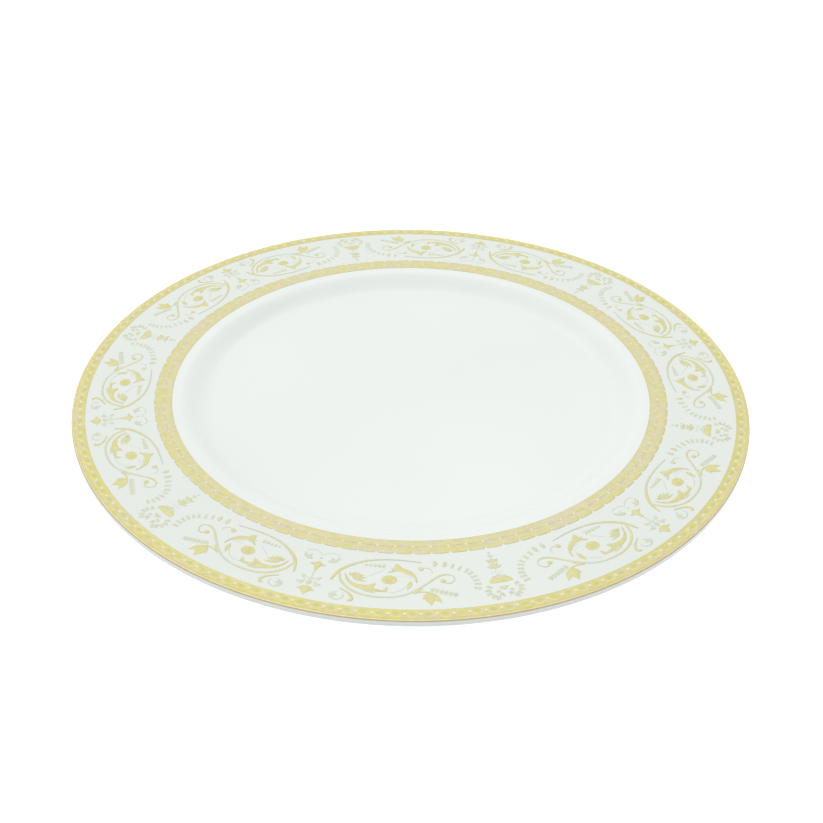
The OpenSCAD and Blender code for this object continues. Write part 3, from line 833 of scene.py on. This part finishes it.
def palmette_sprays():
    """A palmette of six leaves, its stem, and a small spray."""
    work = Relief()
    for base, tip, wide, bow in (((48.9, -1.5), (43.3, 1.0), 1.6, -0.7),
                                 ((48.6, -1.3), (43.4, -0.7), 1.5, -0.4),
                                 ((48.7, -1.5), (44.6, -1.9), 1.3, -0.3),
                                 ((48.8, -1.6), (46.1, -2.7), 1.1, -0.2),
                                 ((48.9, -1.5), (47.7, -2.9), 0.8, -0.1),
                                 ((48.6, -0.8), (49.6, -2.7), 0.8, 0.2)):
        work.leaf(base, tip, wide, bow, 0.7, 0.26, 10)
    work.vine([(43.2, -1.5), (41.0, -3.2), (38.4, -5.0)], [0.3, 0.28, 0.2], 0.0, 0.12)
    for i in range(5):
        root = np.array([39.2 + 1.5 * i, -6.85])
        size = 1 - 0.1 * i
        for s in (-1, 1):
            work.leaf(root, root + np.array([-1.3, s * 1.0]) * size, 1.2 * size, 0.1 * s,
                      0.35 - 0.08 * i, 0.2, 6)
    work.vine([(38.4, -6.85), (46.0, -6.7)], [0.25, 0.2], 0.1, 0.12)
    return work.object("palmette_sprays", HALVES)


def berry_curls():
    """A small curl that ends in a berry."""
    work = Relief()
    path = [(25.0, -6.4), (23.7, -6.5), (22.4, -5.9), (21.7, -4.9), (22.0, -3.8)]
    work.vine(path, [0.45, 0.35, 0.25], [0.5, 0.0, 0.0], 0.16)
    work.berry((25.5, -6.0), 1.0, 0.6, 0.34)
    return work.object("berry_curls", HALVES)


def corner_curls():
    """A stroke, and a leafy curl beside it."""
    work = Relief()
    work.vine([(47.9, 10.6), (46.9, 10.5), (46.6, 9.4), (47.6, 7.7), (49.3, 6.5), (51.2, 5.5)],
              [0.7, 1.1, 1.1, 0.9, 0.7, 0.4], [0.7, 0.9, 0.9, 0.7, 0.5, 0.2], 0.26)
    work.vine([(49.7, 8.0), (49.4, 9.2), (50.1, 10.4), (51.5, 10.9), (52.7, 10.6)], [0.3, 0.5, 0.5], 0.0,
              0.16)
    work.leaf((51.8, 10.9), (53.7, 7.7), 1.5, 0.45, 0.0, 0.18, 10)
    work.leaf((53.8, 8.9), (51.4, 6.6), 1.2, -0.35, 0.0, 0.18, 10)
    work.leaf((53.0, 9.0), (50.8, 9.1), 1.0, 0.1, 0.0, 0.16)
    return work.object("corner_curls", HALVES)


# ---------------------------------------------------------------- junctions


def junction_fleurs():
    """A pointed fleuron with two small leaves on each side."""
    work = Relief()
    work.leaf((0, 6.9), (0, 11.3), 3.0, 0, 1.0, 0.34, 12)
    for s in (-1, 1):
        work.leaf((0.1 * s, 8.3), (3.0 * s, 8.9), 1.4, -0.1 * s, 0.7, 0.26)
        work.leaf((0.1 * s, 8.0), (1.7 * s, 7.4), 0.9, 0.1 * s, 0.6, 0.22)
    return work.object("junction_fleurs", JUNCTIONS)


def junction_flowers():
    """An open flower on its stem."""
    work = Relief()
    work.leaf((0, 6.6), (0, 3.8), 1.9, 0, 0.25, 0.24, 10)
    work.vine([(0, 3.8), (0, -0.2)], [0.4, 0.4], [0.0, 0.4], 0.16)
    for s in (-1, 1):
        work.leaf((1.3 * s, 5.6), (4.5 * s, 6.0), 1.9, 0.0, 0.0, 0.18, 12, lobes=2)
        work.leaf((1.7 * s, 6.3), (3.1 * s, 7.0), 0.7, 0.0, 0.0, 0.14, 7)
        work.leaf((1.7 * s, 3.9), (3.4 * s, 2.0), 1.6, 0.0, 0.0, 0.18, 10)
        work.leaf((1.2 * s, 4.7), (2.4 * s, 4.5), 0.7, 0.0, 0.0, 0.14, 7)
        work.leaf((0.3 * s, 3.9), (1.2 * s, 2.7), 0.7, 0.1 * s, 0.0, 0.16, 7)
    return work.object("junction_flowers", JUNCTIONS)


def junction_lilies():
    """A hanging lily with a petal to each side."""
    work = Relief()
    work.upright(0, [(-0.1, 0.5), (-1.0, 0.6), (-2.0, 0.75), (-2.8, 1.1), (-3.6, 1.55), (-4.4, 1.1),
                     (-5.3, 0.2)], 0.32, 0.9, columns=11)
    for s in (-1, 1):
        work.leaf((0.3 * s, -3.5), (3.0 * s, -3.8), 1.2, 0.1 * s, 0.6, 0.26)
    return work.object("junction_lilies", JUNCTIONS)


def base_scrolls():
    """A pair of scrolls with a leaf between them and a tendril under each."""
    work = Relief()
    work.leaf((0, -6.2), (0, -7.5), 1.0, 0, 0.0, 0.18)
    for s in (-1, 1):
        work.vine(mirrored([(2.8, -5.9), (4.5, -6.1), (5.8, -6.9), (6.5, -8.4)], s),
                  [0.9, 1.5, 1.2, 0.5], [0.1, 0.2, 0.1, 0.0], 0.24)
        work.leaf((4.6 * s, -6.3), (3.5 * s, -7.9), 1.2, 0.1 * s, 0.3, 0.22)
        work.vine(mirrored([(0.1, -8.2), (1.4, -9.5), (3.2, -10.0), (5.0, -9.9), (6.4, -9.0)], s),
                  [0.3, 0.4, 0.3], 0.0, 0.14)
    return work.object("base_scrolls", JUNCTIONS)


# ---------------------------------------------------------------- the plate, dressed

band_gold = gold_material("band_gold", rgb(219, 213, 128), rgb(218, 211, 194), 0.5, worn=1.0)
relief_gold = gold_material("relief_gold", rgb(238, 226, 182), rgb(208, 204, 132), 0.48)
motif_gold = gold_material("motif_gold", rgb(220, 214, 152), rgb(213, 217, 199), 0.5)
# edge_gold: its bronze is a painted dark reflection and its pale gold a painted highlight
edge_gold = gold_material("edge_gold", rgb(190, 170, 132), rgb(238, 222, 172), 0.42, worn=0.0)
enamel = enamel_material()

dress(plate_body(), "porcelain_body", porcelain_material())
dress(lip_gilding(), "lip_gilt_line", edge_gold)
dress(outer_band(), "outer_gold_band", band_gold)
dress(outer_arches(), "outer_band_arches", relief_gold)
dress(outer_pearls(), "outer_band_pearls", enamel)
dress(inner_band(), "inner_gold_band", band_gold)
dress(inner_lobes(), "inner_band_lobes", band_gold)
dress(inner_pearls(), "inner_band_pearls", enamel)
for make, slot in (
    (urn_bowls, "bright_gold"), (urn_wreaths, "olive_gold"), (urn_pendants, "olive_gold"),
    (leaf_garlands, "olive_gold"), (wheat_sprigs, "olive_gold"), (lily_flowers, "bright_gold"),
    (scroll_vines, "bright_gold"), (medallion_arcs, "bright_gold"),
    (medallion_rosettes, "bright_gold"), (acanthus_leaves, "bright_gold"),
    (curled_acanthus, "bright_gold"), (palmette_sprays, "olive_gold"),
    (berry_curls, "bright_gold"), (corner_curls, "olive_gold"),
    (junction_fleurs, "bright_gold"), (junction_flowers, "olive_gold"),
    (junction_lilies, "bright_gold"), (base_scrolls, "olive_gold"),
):
    piece = make()
    piece.name = make.__name__ + "_relief"
    dress(piece, make.__name__, motif_gold)


# ---------------------------------------------------------------- floor, light and camera


FLOOR_HALF = 20.0                           # half a side of the floor, in metres


def floor():
    """A pale floor that glows faintly, so that it stays white around the plate."""
    mesh = bpy.data.meshes.new("floor")
    corners = [(x * FLOOR_HALF, y * FLOOR_HALF, 0) for x, y in ((-1, -1), (1, -1), (1, 1), (-1, 1))]
    mesh.from_pydata(corners, [], [(0, 1, 2, 3)])
    obj = bpy.data.objects.new("floor", mesh)
    bpy.context.scene.collection.objects.link(obj)
    m = Nodes("pale_floor")
    m.set(Base_Color=rgb(250, 250, 250), Roughness=0.9, Emission_Color=(1, 1, 1, 1),
          Emission_Strength=0.35)
    m.feed(m.shader, "Specular IOR Level", 0.0)
    mesh.materials.append(m.mat)


def softbox():
    """A square soft light over the plate, a little behind it and to its left."""
    light = bpy.data.lights.new("overhead", "AREA")
    light.shape = "SQUARE"
    light.size = 1.9
    light.energy = 6.5
    obj = bpy.data.objects.new("overhead", light)
    obj.location = around_view(-0.2, 0.4, 1.6)
    middle = Vector((0, 0, 0.01))
    obj.rotation_euler = (middle - obj.location).to_track_quat("-Z", "Y").to_euler()
    bpy.context.scene.collection.objects.link(obj)


CAMERA_TURN = 255.35        # where the camera stands round the plate, in degrees from +X
CAMERA_AWAY = 2.837         # its distance from the axis and its height over the rim, in plate radii
CAMERA_UP = 1.923
CAMERA_TILT = 35.78         # how far it looks down
CAMERA_PAN = 0.04           # how far it looks to the side of the axis
CAMERA_ROLL = 0.87          # how far it leans
CAMERA_LENS = 49.43         # in mm, for a picture 36 mm wide


def camera():
    data = bpy.data.cameras.new("camera")
    data.sensor_width = 36
    data.lens = CAMERA_LENS
    data.clip_start = 0.01
    obj = bpy.data.objects.new("camera", data)
    bpy.context.scene.collection.objects.link(obj)
    radius = PLATE_R * MM
    turn = math.radians(CAMERA_TURN)
    heading = turn + math.pi - math.radians(CAMERA_PAN)
    tilt = math.radians(CAMERA_TILT)
    ahead = Vector((math.cos(heading) * math.cos(tilt), math.sin(heading) * math.cos(tilt),
                    -math.sin(tilt)))
    right = ahead.cross(Vector((0, 0, 1))).normalized()
    up = right.cross(ahead)
    roll = math.radians(CAMERA_ROLL)
    right, up = (math.cos(roll) * right + math.sin(roll) * up,
                 math.cos(roll) * up - math.sin(roll) * right)
    place = Vector((math.cos(turn) * CAMERA_AWAY * radius, math.sin(turn) * CAMERA_AWAY * radius,
                    PLATE_H * MM + CAMERA_UP * radius))
    axes = Matrix((right, up, -ahead)).transposed().to_4x4()
    obj.matrix_world = Matrix.Translation(place) @ axes
    bpy.context.scene.camera = obj


def around_view(side, back, up):
    """A place beside the plate as the camera sees it: to its right, behind the plate, and up."""
    a = math.radians(CAMERA_TURN)
    away, right = Vector((math.cos(a), math.sin(a), 0)), Vector((-math.sin(a), math.cos(a), 0))
    return right * side - away * back + Vector((0, 0, up))


SKY_BASE = 0.79                             # strength of the sky
SKY_LEAN = (-0.07, 0.14, 0.1)               # how it grows to the right, to the back and upwards


def world():
    """An even, soft sky, a little brighter behind the plate."""
    w = bpy.data.worlds.new("studio")
    bpy.context.scene.world = w
    w.use_nodes = True
    tree = w.node_tree
    sky = tree.nodes["Background"]
    sky.inputs["Color"].default_value = (0.99, 1.0, 0.99, 1)
    place = tree.nodes.new("ShaderNodeTexCoord")
    along = tree.nodes.new("ShaderNodeVectorMath")
    along.operation = "DOT_PRODUCT"
    along.inputs[1].default_value = around_view(*SKY_LEAN)
    add = tree.nodes.new("ShaderNodeMath")
    add.inputs[1].default_value = SKY_BASE
    tree.links.new(place.outputs["Generated"], along.inputs[0])
    tree.links.new(along.outputs["Value"], add.inputs[0])
    tree.links.new(add.outputs[0], sky.inputs["Strength"])


floor()
world()
softbox()
camera()
bpy.context.scene.view_settings.view_transform = "Standard"
